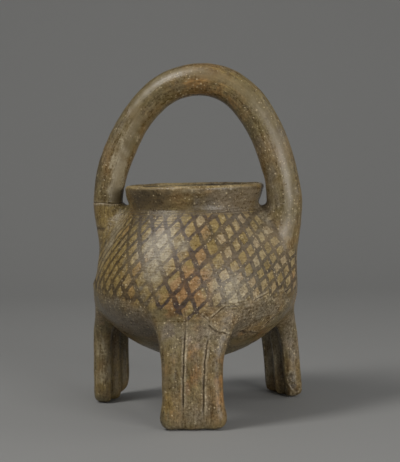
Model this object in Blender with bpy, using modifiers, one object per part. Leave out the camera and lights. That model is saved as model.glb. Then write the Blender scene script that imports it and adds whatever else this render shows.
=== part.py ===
# Tripod vase with a basket handle, hand-built in fired clay.
#
# A round-bottomed bowl with a flaring collar stands on three slab legs, and a thick round
# handle arches over its mouth. Each leg is three clay rolls pressed side by side, with two
# grooves cut down its outer face. The clay was joined wet and fired, so the vase is one solid.
#
# Metres, +Z up. The vase stands on Z = 0 and its front is -Y. The origin is on the floor, in
# the middle of the vase's depth, so the bowl's axis is set back a little from it.

from math import asin, cos, pi, radians, sin, sqrt

import bmesh
import bpy
from mathutils import Vector

# Bowl, outer surface. The rises are stacked on each other from the bottom up to the rim
BOTTOM_HEIGHT = 0.0335
BELLY_RISE = 0.0485
SHOULDER_RISE = 0.0585
COLLAR_RISE = 0.0155
BELLY_RADIUS = 0.0708
NECK_RADIUS = 0.0446
RIM_RADIUS = 0.0480

BELLY_HEIGHT = BOTTOM_HEIGHT + BELLY_RISE
NECK_HEIGHT = BELLY_HEIGHT + SHOULDER_RISE
RIM_HEIGHT = NECK_HEIGHT + COLLAR_RISE

# How far each stretch of the outline runs on in the direction it starts or ends with, as a
# share of the rise or run it covers
BOTTOM_PULL = 0.42
BELLY_PULL_DOWN = 0.47
BELLY_PULL_UP = 0.46
SHOULDER_PULL_OUT = 0.42
SHOULDER_PULL_DOWN = 0.30
COLLAR_PULL_UP = 0.35
FLARE_PULL = 0.20

# Bowl, thickness of the clay
WALL = 0.0060
LIP_WALL = 0.0042

# Handle. Left and right are as seen from the front
HANDLE_ROOM = 0.0616  # from the rim up to the underside of the handle's top
HANDLE_SPRING_DROP = 0.0150  # from the rim down to where its sides stand upright
HANDLE_ROOT_RISE = 0.0170  # from the belly's widest up to where its ends lie in the wall
HANDLE_RIM_GAP = 0.0032
HANDLE_THICKNESS_LEFT = 0.0207
HANDLE_THICKNESS_TOP = 0.0224
HANDLE_THICKNESS_RIGHT = 0.0240
HANDLE_LEAN = 0.0062
HANDLE_FLATNESS = 0.028
HANDLE_TURN = radians(-13)

HANDLE_TOP = RIM_HEIGHT + HANDLE_ROOM + HANDLE_THICKNESS_TOP
HANDLE_SPRING_HEIGHT = RIM_HEIGHT - HANDLE_SPRING_DROP
HANDLE_ROOT_HEIGHT = BELLY_HEIGHT + HANDLE_ROOT_RISE

# Legs. A leg is as wide as three rolls, LEG_ROLL_PITCH apart
LEG_TURNS = (radians(266.5), radians(28), radians(155))
LEG_INSET = 0.0011  # from the belly's widest in to the middle of a foot's thickness
LEG_LEAN = 0.0028
LEG_TOP_RISE = 0.0030  # from the belly's widest up to where a leg ends in the wall
LEG_ROLL_RADIUS = 0.0071
LEG_ROLL_PITCH = 0.0128
LEG_VALLEY_INNER = 0.0030
LEG_VALLEY_OUTER = 0.0005
FOOT_ROUNDING = 0.0035
FOOT_END_ROUNDING = 0.0062
FOOT_FLARE = 0.0009
ROOT_LENGTH = 0.0370
ROOT_FLARE = 0.0060
ROOT_TUCK = 0.0070

LEG_FOOT_RADIUS = BELLY_RADIUS - LEG_INSET
LEG_TOP_HEIGHT = BELLY_HEIGHT + LEG_TOP_RISE
ROOT_START = LEG_TOP_HEIGHT - ROOT_LENGTH

# Grooves cut down the outer face of each leg
GROOVE_WIDTH = 0.0018
GROOVE_DEPTH = 0.0011
GROOVE_BOTTOM = 0.0090
GROOVE_TOP_DROP = 0.0250  # from the leg's top down to where its grooves begin

GROOVE_TOP = LEG_TOP_HEIGHT - GROOVE_TOP_DROP

# A foot's edges draw in by this share of their rounding, which leaves it a flat sole
FOOT_DRAW_IN = 0.85

# How finely round things are divided
BOWL_STEPS = 64
LOWER_STEPS = 8
SHOULDER_STEPS = 6
COLLAR_STEPS = 4
LIP_STEPS = 5
HANDLE_RINGS = 34
HANDLE_BEVEL_STEPS = 5
ROLL_STEPS = 8
ROLL_END_STEPS = 7

# Points closer together than this are one point
MERGE_DISTANCE = 0.00001

CLAY_COLOUR = (0.23, 0.16, 0.09, 1.0)
CLAY_ROUGHNESS = 0.42


def clear_scene():
    for obj in list(bpy.data.objects):
        bpy.data.objects.remove(obj)


def bezier(start, pull_start, pull_end, end, steps):
    """Points on a cubic curve, as (radius, height), both ends included."""
    points = []
    for i in range(steps + 1):
        t = i / steps
        shares = ((1 - t) ** 3, 3 * t * (1 - t) ** 2, 3 * t * t * (1 - t), t**3)
        corners = (start, pull_start, pull_end, end)
        points.append(tuple(sum(s * c[k] for s, c in zip(shares, corners)) for k in (0, 1)))
    return points


def bowl_outside():
    """The outer surface as (radius, height), from the bottom's middle up to below the lip."""
    collar_top = RIM_HEIGHT - LIP_WALL / 2
    belly = (BELLY_RADIUS, BELLY_HEIGHT)
    neck = (NECK_RADIUS, NECK_HEIGHT)
    lower = bezier(
        (0, BOTTOM_HEIGHT),
        (BOTTOM_PULL * BELLY_RADIUS, BOTTOM_HEIGHT),
        (BELLY_RADIUS, BELLY_HEIGHT - BELLY_PULL_DOWN * BELLY_RISE),
        belly,
        LOWER_STEPS,
    )
    shoulder_out = SHOULDER_PULL_OUT * (BELLY_RADIUS - NECK_RADIUS)
    shoulder = bezier(
        belly,
        (BELLY_RADIUS, BELLY_HEIGHT + BELLY_PULL_UP * SHOULDER_RISE),
        (NECK_RADIUS + shoulder_out, NECK_HEIGHT - SHOULDER_PULL_DOWN * SHOULDER_RISE),
        neck,
        SHOULDER_STEPS,
    )
    flare_in = FLARE_PULL * (RIM_RADIUS - NECK_RADIUS)
    collar = bezier(
        neck,
        (NECK_RADIUS, NECK_HEIGHT + COLLAR_PULL_UP * COLLAR_RISE),
        (RIM_RADIUS - flare_in, collar_top - FLARE_PULL * COLLAR_RISE),
        (RIM_RADIUS, collar_top),
        COLLAR_STEPS,
    )
    return lower + shoulder[1:] + collar[1:]


def wall_at(height):
    """Thickness of the clay: the full wall up to the neck, then thinner up to the lip."""
    rise = (height - NECK_HEIGHT) / COLLAR_RISE
    return WALL + (LIP_WALL - WALL) * min(max(rise, 0.0), 1.0)


def moved_inward(outside, share):
    """The outline moved into the clay by that share of the wall, square to its own direction."""
    moved = []
    for i, (radius, height) in enumerate(outside):
        before = outside[max(i - 1, 0)]
        after = outside[min(i + 1, len(outside) - 1)]
        along = Vector((after[0] - before[0], after[1] - before[1])).normalized()
        if i == 0:
            along = Vector((1.0, 0.0))
        depth = share * wall_at(height)
        moved.append((max(radius - depth * along.y, 0.0), height + depth * along.x))
    return moved


def lip(outside_end, inside_end):
    """The half-round edge of the collar, from its inner side over to its outer side."""
    outer, inner = Vector(outside_end), Vector(inside_end)
    middle = (outer + inner) / 2
    reach = (outer - inner) / 2
    rise = Vector((0, LIP_WALL / 2))
    turns = [pi * (1 - i / LIP_STEPS) for i in range(1, LIP_STEPS)]
    return [tuple(middle + reach * cos(t) + rise * sin(t)) for t in turns]


def turned(name, profile, collection):
    """A solid of revolution about Z. The profile runs from the axis up, over and down again."""
    mesh = bpy.data.meshes.new(name)
    corners = [(radius, 0, height) for radius, height in profile]
    edges = [(i, i + 1) for i in range(len(corners) - 1)]
    mesh.from_pydata(corners, edges, [])
    obj = bpy.data.objects.new(name, mesh)
    collection.objects.link(obj)
    screw = obj.modifiers.new("turn", "SCREW")
    screw.axis = "Z"
    screw.steps = screw.render_steps = BOWL_STEPS
    screw.use_merge_vertices = True
    screw.merge_threshold = MERGE_DISTANCE
    screw.use_smooth_shade = True
    return obj


def handle_path():
    """The handle's centre line, from its left root over the top to its right root.

    It is an ellipse about the height where the two sides stand upright, carried on below that
    height until it ends behind the wall. Above it the sides are a little flatter, and the top
    leans to the right. Each entry is (across, height, thickness).
    """
    widest = max(HANDLE_THICKNESS_LEFT, HANDLE_THICKNESS_RIGHT)
    span = RIM_RADIUS + HANDLE_RIM_GAP + widest / 2
    rise = HANDLE_TOP - HANDLE_THICKNESS_TOP / 2 - HANDLE_SPRING_HEIGHT
    overrun = asin((HANDLE_SPRING_HEIGHT - HANDLE_ROOT_HEIGHT) / rise)
    path = []
    for i in range(HANDLE_RINGS + 1):
        turn = pi + overrun - (pi + 2 * overrun) * i / HANDLE_RINGS
        side = HANDLE_THICKNESS_LEFT if cos(turn) < 0 else HANDLE_THICKNESS_RIGHT
        above = max(sin(turn), 0.0)
        flatter = 1 - HANDLE_FLATNESS * (2 * above * cos(turn)) ** 2
        across = span * cos(turn) * flatter + HANDLE_LEAN * above * above
        thickness = side + (HANDLE_THICKNESS_TOP - side) * sin(turn)
        path.append((across, HANDLE_SPRING_HEIGHT + rise * sin(turn), thickness))
    return path


def mesh_of(curve_object, collection):
    """The curve as a closed mesh in the same place, and the curve removed."""
    bpy.context.view_layer.update()
    graph = bpy.context.evaluated_depsgraph_get()
    name = curve_object.name
    mesh = bpy.data.meshes.new_from_object(curve_object.evaluated_get(graph))
    weld_caps(mesh)
    place = curve_object.matrix_world.copy()
    bpy.data.objects.remove(curve_object)
    obj = bpy.data.objects.new(name, mesh)
    obj.matrix_world = place
    collection.objects.link(obj)
    return obj


def weld_caps(mesh):
    shape = bmesh.new()
    shape.from_mesh(mesh)
    bmesh.ops.remove_doubles(shape, verts=shape.verts, dist=MERGE_DISTANCE)
    bmesh.ops.recalc_face_normals(shape, faces=shape.faces)
    shape.to_mesh(mesh)
    shape.free()


def handle(collection):
    """A round tube along the handle's path, thicker on the right than on the left."""
    curve = bpy.data.curves.new("handle_clay", "CURVE")
    curve.dimensions = "3D"
    curve.bevel_depth = 1.0
    curve.bevel_resolution = HANDLE_BEVEL_STEPS
    curve.use_fill_caps = True
    path = handle_path()
    spline = curve.splines.new("POLY")
    spline.points.add(len(path) - 1)
    for point, (across, height, thickness) in zip(spline.points, path):
        point.co = (across, 0, height, 1)
        point.radius = thickness / 2
    obj = bpy.data.objects.new("handle_clay", curve)
    obj.rotation_euler.z = HANDLE_TURN
    collection.objects.link(obj)
    return mesh_of(obj, collection)


def smooth_step(value, start, end):
    t = min(max((value - start) / (end - start), 0.0), 1.0)
    return t * t * (3 - 2 * t)


def leg_flare(height):
    """How far the leg spreads beyond its rolls on each side: at the foot and at the root."""
    foot = FOOT_FLARE * (1 - smooth_step(height, FOOT_END_ROUNDING, 3 * FOOT_END_ROUNDING))
    root = ROOT_FLARE * smooth_step(height, ROOT_START, LEG_TOP_HEIGHT)
    return foot + root


def leg_reach(height):
    """How far the middle of the leg's thickness stands from the bowl's axis."""
    tuck = ROOT_TUCK * smooth_step(height, ROOT_START, LEG_TOP_HEIGHT)
    return LEG_FOOT_RADIUS - LEG_LEAN * height / LEG_TOP_HEIGHT - tuck


def foot_inset(height, rounding):
    """How far a quarter-round edge of the foot draws in, near the floor."""
    below = max(1 - height / rounding, 0.0)
    return rounding * (1 - sqrt(1 - below * below)) * FOOT_DRAW_IN


def leg_section(groove_depth):
    """The leg's outline as (across, out): a face with two grooves, and three rolls behind.

    A groove lies halfway between two rolls. The face has further points a little way from
    each groove, and its ends are half circles.
    """
    pitch, radius = LEG_ROLL_PITCH, LEG_ROLL_RADIUS
    groove, half_width, level = pitch / 2, GROOVE_WIDTH / 2, 2 * GROOVE_WIDTH
    half_face = [
        (0.0, 0.0),
        (groove - level, 0.0),
        (groove - half_width, 0.0),
        (groove, 1.0),
        (groove + half_width, 0.0),
        (groove + level, 0.0),
        (pitch, 0.0),
    ]
    face = half_face[::-1] + [(-across, share) for across, share in half_face[1:]]
    points = []
    for across, share in face:
        valley = LEG_VALLEY_OUTER * sin(pi * across / pitch) ** 2
        points.append((across, radius - valley - share * groove_depth))
    turns = [pi * i / ROLL_END_STEPS for i in range(1, ROLL_END_STEPS)]
    points += [(-pitch - radius * sin(turn), radius * cos(turn)) for turn in turns]
    for i in range(-ROLL_STEPS, ROLL_STEPS + 1):
        across = pitch * i / ROLL_STEPS
        valley = LEG_VALLEY_INNER * sin(pi * across / pitch) ** 2
        points.append((across, valley - radius))
    points += [(pitch + radius * sin(turn), -radius * cos(turn)) for turn in turns]
    return points


def leg_rings():
    """Outlines of one leg from floor to root, in its own place: X across, -Y out, Z up."""
    groove_full = GROOVE_BOTTOM + GROOVE_WIDTH
    groove_fading = GROOVE_TOP - 4 * GROOVE_WIDTH
    levels = [FOOT_END_ROUNDING * share for share in (0, 0.1, 0.3, 0.6, 1, 3)]
    levels += [ROOT_START + ROOT_LENGTH * share for share in (0, 0.25, 0.5, 0.75, 1)]
    levels += [GROOVE_BOTTOM, groove_full, groove_fading, GROOVE_TOP]
    half = LEG_ROLL_PITCH + LEG_ROLL_RADIUS
    rings = []
    for height in sorted(set(levels)):
        fade_in = smooth_step(height, GROOVE_BOTTOM, groove_full)
        fade_out = 1 - smooth_step(height, groove_fading, GROOVE_TOP)
        wider = (half + leg_flare(height) - foot_inset(height, FOOT_END_ROUNDING)) / half
        thicker = 1 - foot_inset(height, FOOT_ROUNDING) / LEG_ROLL_RADIUS
        out = leg_reach(height)
        section = leg_section(GROOVE_DEPTH * fade_in * fade_out)
        rings.append([(u * wider, -(out + v * thicker), height) for u, v in section])
    return rings


def lofted(name, rings, collection):
    """A closed skin over outlines that all have the same number of points."""
    count = len(rings[0])
    corners = [point for ring in rings for point in ring]
    faces = []
    for level in range(len(rings) - 1):
        for i in range(count):
            a, b = level * count + i, level * count + (i + 1) % count
            faces.append((a, b, b + count, a + count))
    faces.append(tuple(range(count))[::-1])
    faces.append(tuple(range(len(corners) - count, len(corners))))
    mesh = bpy.data.meshes.new(name)
    mesh.from_pydata(corners, [], faces)
    weld_caps(mesh)
    obj = bpy.data.objects.new(name, mesh)
    collection.objects.link(obj)
    return obj


def leg(number, turn, collection):
    obj = lofted(f"leg_clay_{number}", leg_rings(), collection)
    obj.rotation_euler.z = turn + pi / 2
    return obj


def boolean(obj, other, operation):
    modifier = obj.modifiers.new(f"{operation.lower()} {other.name}", "BOOLEAN")
    modifier.operation = operation
    modifier.solver = "EXACT"
    modifier.object = other


def fired_clay():
    material = bpy.data.materials.new("fired_clay")
    material.use_nodes = True
    shader = material.node_tree.nodes["Principled BSDF"]
    shader.inputs["Base Color"].default_value = CLAY_COLOUR
    shader.inputs["Roughness"].default_value = CLAY_ROUGHNESS
    shader.inputs["Metallic"].default_value = 0.0
    material.diffuse_color = CLAY_COLOUR
    return material


def new_collection(name):
    collection = bpy.data.collections.new(name)
    bpy.context.scene.collection.children.link(collection)
    return collection


def main():
    clear_scene()
    parts = new_collection("tripod_vase_parts")
    helpers = new_collection("helpers")

    outside = bowl_outside()
    inside = moved_inward(outside, 1.0)
    wall_profile = inside + lip(outside[-1], inside[-1]) + outside[::-1]
    vase = turned("tripod_vase", wall_profile, parts)
    vase.data.materials.append(fired_clay())

    # What would fill the bowl up to the middle of its wall. It trims the handle and the legs,
    # so that they end inside the wall and leave the bowl's hollow clear.
    middle = moved_inward(outside, 0.5)
    mouth = [(0, RIM_HEIGHT), (middle[-1][0], RIM_HEIGHT)]
    core = turned("bowl_core", mouth + middle[::-1], helpers)

    depth_in_front = LEG_FOOT_RADIUS + LEG_ROLL_RADIUS
    place = bpy.data.objects.new("bowl_axis", None)
    place.location.y = (depth_in_front - BELLY_RADIUS) / 2
    parts.objects.link(place)

    additions = [handle(helpers)]
    additions += [leg(i + 1, turn, helpers) for i, turn in enumerate(LEG_TURNS)]
    for addition in additions:
        boolean(addition, core, "DIFFERENCE")
        boolean(vase, addition, "UNION")
    for obj in (vase, core, *additions):
        obj.parent = place
    for helper in helpers.objects:
        helper.hide_render = True
        helper.display_type = "WIRE"


main()
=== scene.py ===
import math

import bpy
import bmesh
import numpy as np
from mathutils import Matrix, Vector


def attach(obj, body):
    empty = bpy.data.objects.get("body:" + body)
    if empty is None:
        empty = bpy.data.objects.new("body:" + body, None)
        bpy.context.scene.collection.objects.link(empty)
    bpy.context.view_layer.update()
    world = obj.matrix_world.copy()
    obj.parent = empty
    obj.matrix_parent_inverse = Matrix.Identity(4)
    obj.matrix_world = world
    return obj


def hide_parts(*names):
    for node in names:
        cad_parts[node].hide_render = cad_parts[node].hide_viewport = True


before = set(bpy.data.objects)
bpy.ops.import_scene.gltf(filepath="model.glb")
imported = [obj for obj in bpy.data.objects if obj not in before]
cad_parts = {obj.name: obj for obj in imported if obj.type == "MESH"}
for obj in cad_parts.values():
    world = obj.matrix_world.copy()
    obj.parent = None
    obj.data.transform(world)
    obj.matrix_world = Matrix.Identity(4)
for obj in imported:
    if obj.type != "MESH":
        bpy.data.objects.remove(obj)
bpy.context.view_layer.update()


def placed(name, data):
    made = bpy.data.objects.new(name, data)
    bpy.context.scene.collection.objects.link(made)
    return made


# The camera, where the photograph was taken from. Lengths in metres, focus in photo pixels
photo = {
    "height": 462,
    "cameraPlace": (0.0036, -0.797, 0.1765),
    "lookAt": (0.0036, 0.003, 0.1234),
    "focus": 1147.0,
    "roll": math.radians(-1.4),
    "sensor": 36.0,
}


def makeCamera():
    data = bpy.data.cameras.new("camera")
    data.sensor_width = photo["sensor"]
    data.lens = photo["sensor"] * photo["focus"] / photo["height"]
    camera = placed("camera", data)
    place = Vector(photo["cameraPlace"])
    forward = (Vector(photo["lookAt"]) - place).normalized()
    level = forward.cross(Vector((0, 0, 1))).normalized()
    upright = level.cross(forward)
    right = math.cos(photo["roll"]) * level + math.sin(photo["roll"]) * upright
    up = math.cos(photo["roll"]) * upright - math.sin(photo["roll"]) * level
    turned = Matrix((right, up, -forward)).transposed().to_4x4()
    camera.matrix_world = Matrix.Translation(place) @ turned
    bpy.context.scene.camera = camera


makeCamera()
print("camera placed")


# Shader maths as formulas: + - * and ** on a Wire add Math nodes behind its socket

class Wire:
    def __init__(self, finish, socket):
        self.finish = finish
        self.socket = socket

    def maths(self, operation, *others):
        values = dict(enumerate((self, *others)))
        return self.finish.node("ShaderNodeMath", {"operation": operation}, values)

    def __add__(self, other):
        return self.maths("ADD", other)

    __radd__ = __add__

    def __mul__(self, other):
        return self.maths("MULTIPLY", other)

    __rmul__ = __mul__

    def __sub__(self, other):
        return self.maths("SUBTRACT", other)

    def __rsub__(self, other):
        return self * -1.0 + other

    def __pow__(self, other):
        return self.maths("POWER", other)


class Finish:
    # One material, and short ways to add nodes to it
    def __init__(self, name):
        self.material = bpy.data.materials.new(name)
        self.material.use_nodes = True
        self.tree = self.material.node_tree
        self.tree.nodes.clear()

    def node(self, kind, settings=None, sockets=None, out=0):
        made = self.tree.nodes.new(kind)
        for key, value in (settings or {}).items():
            if key == "stops":
                ramp = made.color_ramp
                while len(ramp.elements) < len(value):
                    ramp.elements.new(0.5)
                for element, (place, colour) in zip(ramp.elements, value):
                    element.position = place
                    element.color = (*colour, 1.0)
            else:
                setattr(made, key, value)
        for key, value in (sockets or {}).items():
            if isinstance(value, Wire):
                self.tree.links.new(value.socket, made.inputs[key])
            else:
                made.inputs[key].default_value = value
        return Wire(self, made.outputs[out]) if made.outputs else None

    def step(self, value, low, high):
        # 0 below low, 1 above high, smooth between
        ranges = {"Value": value, "From Min": low, "From Max": high}
        return self.node("ShaderNodeMapRange", {"interpolation_type": "SMOOTHSTEP"}, ranges)

    def noise(self, place, scale, detail=2.0, roughness=0.5, out=0):
        sockets = {"Vector": place, "Scale": scale, "Detail": detail, "Roughness": roughness}
        return self.node("ShaderNodeTexNoise", None, sockets, out)

    def mix(self, share, first, second, blend="MIX"):
        # Colours: first where share is 0, second where it is 1
        settings = {"data_type": "RGBA", "blend_type": blend}
        first, second = [c if isinstance(c, Wire) else (*c, 1.0) for c in (first, second)]
        return self.node("ShaderNodeMix", settings, {0: share, 6: first, 7: second}, 2)

    def layers(self, ground, rows):
        # Colours laid over the ground in turn, each by its share
        for share, colour in rows:
            ground = self.mix(share, ground, colour)
        return ground

    def vectors(self, operation, *values, out=0):
        return self.node("ShaderNodeVectorMath", {"operation": operation}, dict(enumerate(values)), out)

    def moved(self, place, x, y, z):
        return self.vectors("ADD", place, (x, y, z))

    def attribute(self, name, out=2):
        return self.node("ShaderNodeAttribute", {"attribute_name": name}, None, out)

    def parts(self, vector):
        return [self.node("ShaderNodeSeparateXYZ", None, {0: vector}, out) for out in range(3)]


def smoothStep(value, low, high):
    t = np.clip((value - low) / (high - low), 0, 1)
    return t * t * (3 - 2 * t)


def bump(value, middle, length):
    return np.exp(-((value - middle) / length) ** 2)


def unit(rows):
    return rows / np.linalg.norm(rows, axis=1)[:, None]


def hum(points, size, seed):
    # Smooth unevenness between about -1 and 1: a sum of slanted waves
    draw = np.random.default_rng(seed)
    total = np.zeros(len(points))
    for _ in range(9):
        slant = draw.normal(size=3)
        slant *= 2 * math.pi / (size * draw.uniform(1.2, 3.0)) / np.linalg.norm(slant)
        total += np.sin(points @ slant + draw.uniform(0, 2 * math.pi))
    return total / 3.2


def unevenness(points, rows):
    # Rows of (size, wave length, seed), added up
    return sum(size * hum(points, length, seed) for size, length, seed in rows)


# Shapes of the vase, metres, as in the frame. Left and right are as seen from the front

farAway = 9.0

bowl = {
    "axisBack": 0.0030,
    "bottom": 0.0335,
    "belly": 0.0820,
    "neck": 0.1405,
    "rim": 0.1560,
    "bellyRadius": 0.0697,
    "neckRadius": 0.0446,
    "rimRadius": 0.0480,
    # How far the outline runs on the way it starts or ends, as a share of each stretch
    "bottomPull": 0.42,
    "bellyPulls": (0.47, 0.46),
    "shoulderPulls": (0.42, 0.30),
    "collarPull": 0.35,
    "flarePull": 0.2,
    "curvePoints": (50, 40, 20),
    "wall": 0.0060,
    "lipWall": 0.0042,
    "mouthAbove": 0.004,
    "rimLean": 0.0010,
    # The collar swells, by (left, right), where the handle's ends were pressed on
    "swell": (0.0014, 0.0005),
    "swellSides": (0.80, 0.97),
    "swellHeight": 0.1468,
    "swellLength": 0.0050,
    # The grid of (radius, height) on which distances are worked out
    "fieldStep": 0.0005,
    "fieldLow": (-0.002, 0.020),
    "fieldHigh": (0.090, 0.172),
}

handle = {
    "turn": math.radians(-13),
    "span": 0.0632,
    "spring": 0.1410,
    "root": 0.0990,
    "top": 0.2398,
    "thickLeft": 0.0205,
    "thickTop": 0.0224,
    "thickRight": 0.0240,
    "lean": 0.0062,
    "flatness": 0.028,
    # How far round a join with the bowl the clay melts, as (left, right): the heights over
    # which that ends below the rim, then the reach
    "joins": [(0.1400, 0.1390), (0.1480, 0.1470), (0.0290, 0.0230)],
    "joinAtRim": 0.0008,
    "sidesMeet": 0.02,
    # Departures from the ellipse: (metres, height or turn, length or width)
    "leftSwell": (0.0012, 0.176, 0.022),
    "leftNudges": [(0.0006, 0.152, 0.022), (0.0011, 0.184, 0.016)],
    "leftHump": (0.0009, math.radians(113), math.radians(13)),
    "rightBulge": (0.0010, 0.1445, 0.009),
    "bulgeShift": 0.5,
    "rightFuller": 0.0016,
    "fullerFrom": (0.158, 0.172),
    "fullerShift": 0.47,
    # (metres, from and down to height) that the left and the right end are drawn in
    "waists": [(0.0050, 0.143, 0.102), (0.0016, 0.130, 0.108)],
}

legs = {
    "top": 0.0850,
    "rollRadius": 0.0071,
    "rollPitch": 0.0128,
    "valleyInner": 0.0036,
    "valleyOuter": 0.0006,
    "flareHeight": 0.0220,
    "rootStart": 0.0440,
    "flareStart": 0.0400,
    "roughFlare": 0.008,
    "leanCurve": 1.5,
    "soleRounding": 0.0090,
    "topRounding": 0.002,
    # The inner side: outwards from and to, below a height, and how far across
    "innerSide": (0.050, 0.069, 0.070, 0.020),
    # Front, right and left leg. Pairs are for its left and right side as seen from outside
    "each": [
        {
            "turn": math.radians(266.5), "foot": 0.0697, "lean": 0.0028, "tuck": 0.0110, "blend": 0.0110,
            "flare": 0.0033, "wider": (0.0009, 0.0027), "rootFlare": (0.0074, 0.0124),
            "corners": (0.0095, 0.0095),
        },
        {
            "turn": math.radians(28), "foot": 0.0707, "lean": 0.0098, "tuck": 0.0076, "blend": 0.0200,
            "flare": 0.0004, "wider": (0.0, 0.0), "rootFlare": (0.0085, 0.0085),
            "corners": (0.0095, 0.0070),
        },
        {
            "turn": math.radians(155), "foot": 0.0702, "lean": 0.0022, "tuck": 0.0088, "blend": 0.0190,
            "flare": 0.0004, "wider": (0.0, 0.0), "rootFlare": (0.0085, 0.0085),
            "corners": (0.0210, 0.0085),
        },
    ],
}


def intoPlane(points, turn):
    # (along, square to) a plane that stands on the bowl's axis, turned about it
    x, y = points[:, 0], points[:, 1] - bowl["axisBack"]
    c, s = math.cos(turn), math.sin(turn)
    return x * c + y * s, y * c - x * s


def fromPlane(along, square, height, turn):
    # The other way: points in the vase's own place
    c, s = math.cos(turn), math.sin(turn)
    x, y = along * c - square * s, along * s + square * c + bowl["axisBack"]
    return np.stack([x, y, height + 0 * x], -1)


def cubic(corners, count):
    # Points on a cubic curve through the first and last corner, pulled by the two between
    t = np.linspace(0, 1, count)[:, None]
    a, b, c, d = np.array(corners, float)
    return (1 - t) ** 3 * a + 3 * t * (1 - t) ** 2 * b + 3 * t * t * (1 - t) * c + t ** 3 * d


def bowlOutside():
    # (radius, height) from the bottom's middle up to below the lip: three cubic curves
    b = bowl
    lowRise, highRise, collar = b["belly"] - b["bottom"], b["neck"] - b["belly"], b["rim"] - b["neck"]
    run, flare = b["bellyRadius"] - b["neckRadius"], b["rimRadius"] - b["neckRadius"]
    belly, neck = (b["bellyRadius"], b["belly"]), (b["neckRadius"], b["neck"])
    top = (b["rimRadius"], b["rim"] - b["lipWall"] / 2)
    corners = [
        (0, b["bottom"]), (b["bottomPull"] * belly[0], b["bottom"]),
        (belly[0], belly[1] - b["bellyPulls"][0] * lowRise), belly,
        (belly[0], belly[1] + b["bellyPulls"][1] * highRise),
        (neck[0] + b["shoulderPulls"][0] * run, neck[1] - b["shoulderPulls"][1] * highRise), neck,
        (neck[0], neck[1] + b["collarPull"] * collar),
        (top[0] - b["flarePull"] * flare, top[1] - b["flarePull"] * collar), top,
    ]
    curves = [cubic(corners[3 * i:3 * i + 4], count)[1:] for i, count in enumerate(b["curvePoints"])]
    return np.concatenate([corners[:1], *curves])


def bowlInside(outside):
    # The outside moved in by the wall, square to its own direction
    along = np.gradient(outside, axis=0)
    along[0] = (1, 0)
    along = unit(along)
    rise = np.clip((outside[:, 1] - bowl["neck"]) / (bowl["rim"] - bowl["neck"]), 0, 1)
    wall = bowl["wall"] + (bowl["lipWall"] - bowl["wall"]) * rise
    inside = outside + wall[:, None] * np.stack([-along[:, 1], along[:, 0]], 1)
    inside[:, 0] = np.maximum(inside[:, 0], 0)
    return inside


def lipArc(outer, inner, count=9):
    # The half-round edge of the collar, from the outer side over to the inner side
    turn = np.linspace(0, math.pi, count)[1:-1, None]
    middle, reach = (outer + inner) / 2, (outer - inner) / 2
    return middle + reach * np.cos(turn) + np.array([0, bowl["lipWall"] / 2]) * np.sin(turn)


def loopDistance(half, radius, height):
    # Signed distance to a half outline and its mirror image, negative inside: the nearest edge
    # gives the size, and how many edges a level ray crosses gives the sign
    loop = np.concatenate([half, (half * (-1, 1))[::-1]])
    nearest = np.full(radius.shape, farAway)
    inside = np.zeros(radius.shape, bool)
    for (x0, z0), (x1, z1) in zip(loop, np.roll(loop, -1, axis=0)):
        dx, dz = x1 - x0, z1 - z0
        length = dx * dx + dz * dz
        if length < 1e-14:
            continue
        share = np.clip(((radius - x0) * dx + (height - z0) * dz) / length, 0, 1)
        away = (radius - x0 - share * dx) ** 2 + (height - z0 - share * dz) ** 2
        nearest = np.minimum(nearest, away)
        if dz != 0:
            inside ^= ((z0 > height) != (z1 > height)) & (radius < (height - z0) * dx / dz + x0)
    return np.where(inside, -1, 1) * np.sqrt(nearest)


class BowlField:
    # A half outline's distance on a grid of radius and height, read back with cubic weights
    def __init__(self, half):
        self.step = bowl["fieldStep"]
        ends = zip(bowl["fieldLow"], bowl["fieldHigh"])
        axes = [np.arange(low, high, self.step) for low, high in ends]
        self.values = loopDistance(half, *np.meshgrid(*axes, indexing="ij"))

    def at(self, radius, height):
        spots = [(s - low) / self.step for s, low in zip((radius, height), bowl["fieldLow"])]
        clipped = [np.clip(s, 1, n - 2.001) for s, n in zip(spots, self.values.shape)]
        beyond = np.hypot(spots[0] - clipped[0], spots[1] - clipped[1]) * self.step
        cells = [s.astype(int) for s in clipped]
        weights = []
        for spot, cell in zip(clipped, cells):
            t = spot - cell
            weights.append((
                ((-0.5 * t + 1) * t - 0.5) * t, (1.5 * t - 2.5) * t * t + 1,
                ((-1.5 * t + 2) * t + 0.5) * t, (0.5 * t - 0.5) * t * t,
            ))
        total = beyond
        for i in range(4):
            for j in range(4):
                value = self.values[cells[0] + i - 1, cells[1] + j - 1]
                total = total + weights[0][i] * weights[1][j] * value
        return total

    def near(self, points):
        return self.at(np.hypot(*intoPlane(points, 0)), points[:, 2])


outside = bowlOutside()
inside = bowlInside(outside)
wallHalf = np.concatenate([outside, lipArc(outside[-1], inside[-1]), inside[::-1]])
mouthTop = bowl["rim"] + bowl["mouthAbove"]
cavityHalf = np.concatenate([inside, [(inside[-1, 0], mouthTop), (0, mouthTop)]])
wallField, cavityField = BowlField(wallHalf), BowlField(cavityHalf)
print("bowl's distance fields made")


def melt(first, second, reach):
    # The smaller of two distances, rounded where they meet, as clay is smoothed over a join
    overlap = np.maximum(reach - np.abs(first - second), 0) / reach
    return np.minimum(first, second) - overlap ** 3 * reach / 6


def cutOff(first, second, reach):
    return -melt(-first, -second, reach)


def handleRise():
    return handle["top"] - handle["thickTop"] / 2 - handle["spring"]


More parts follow.
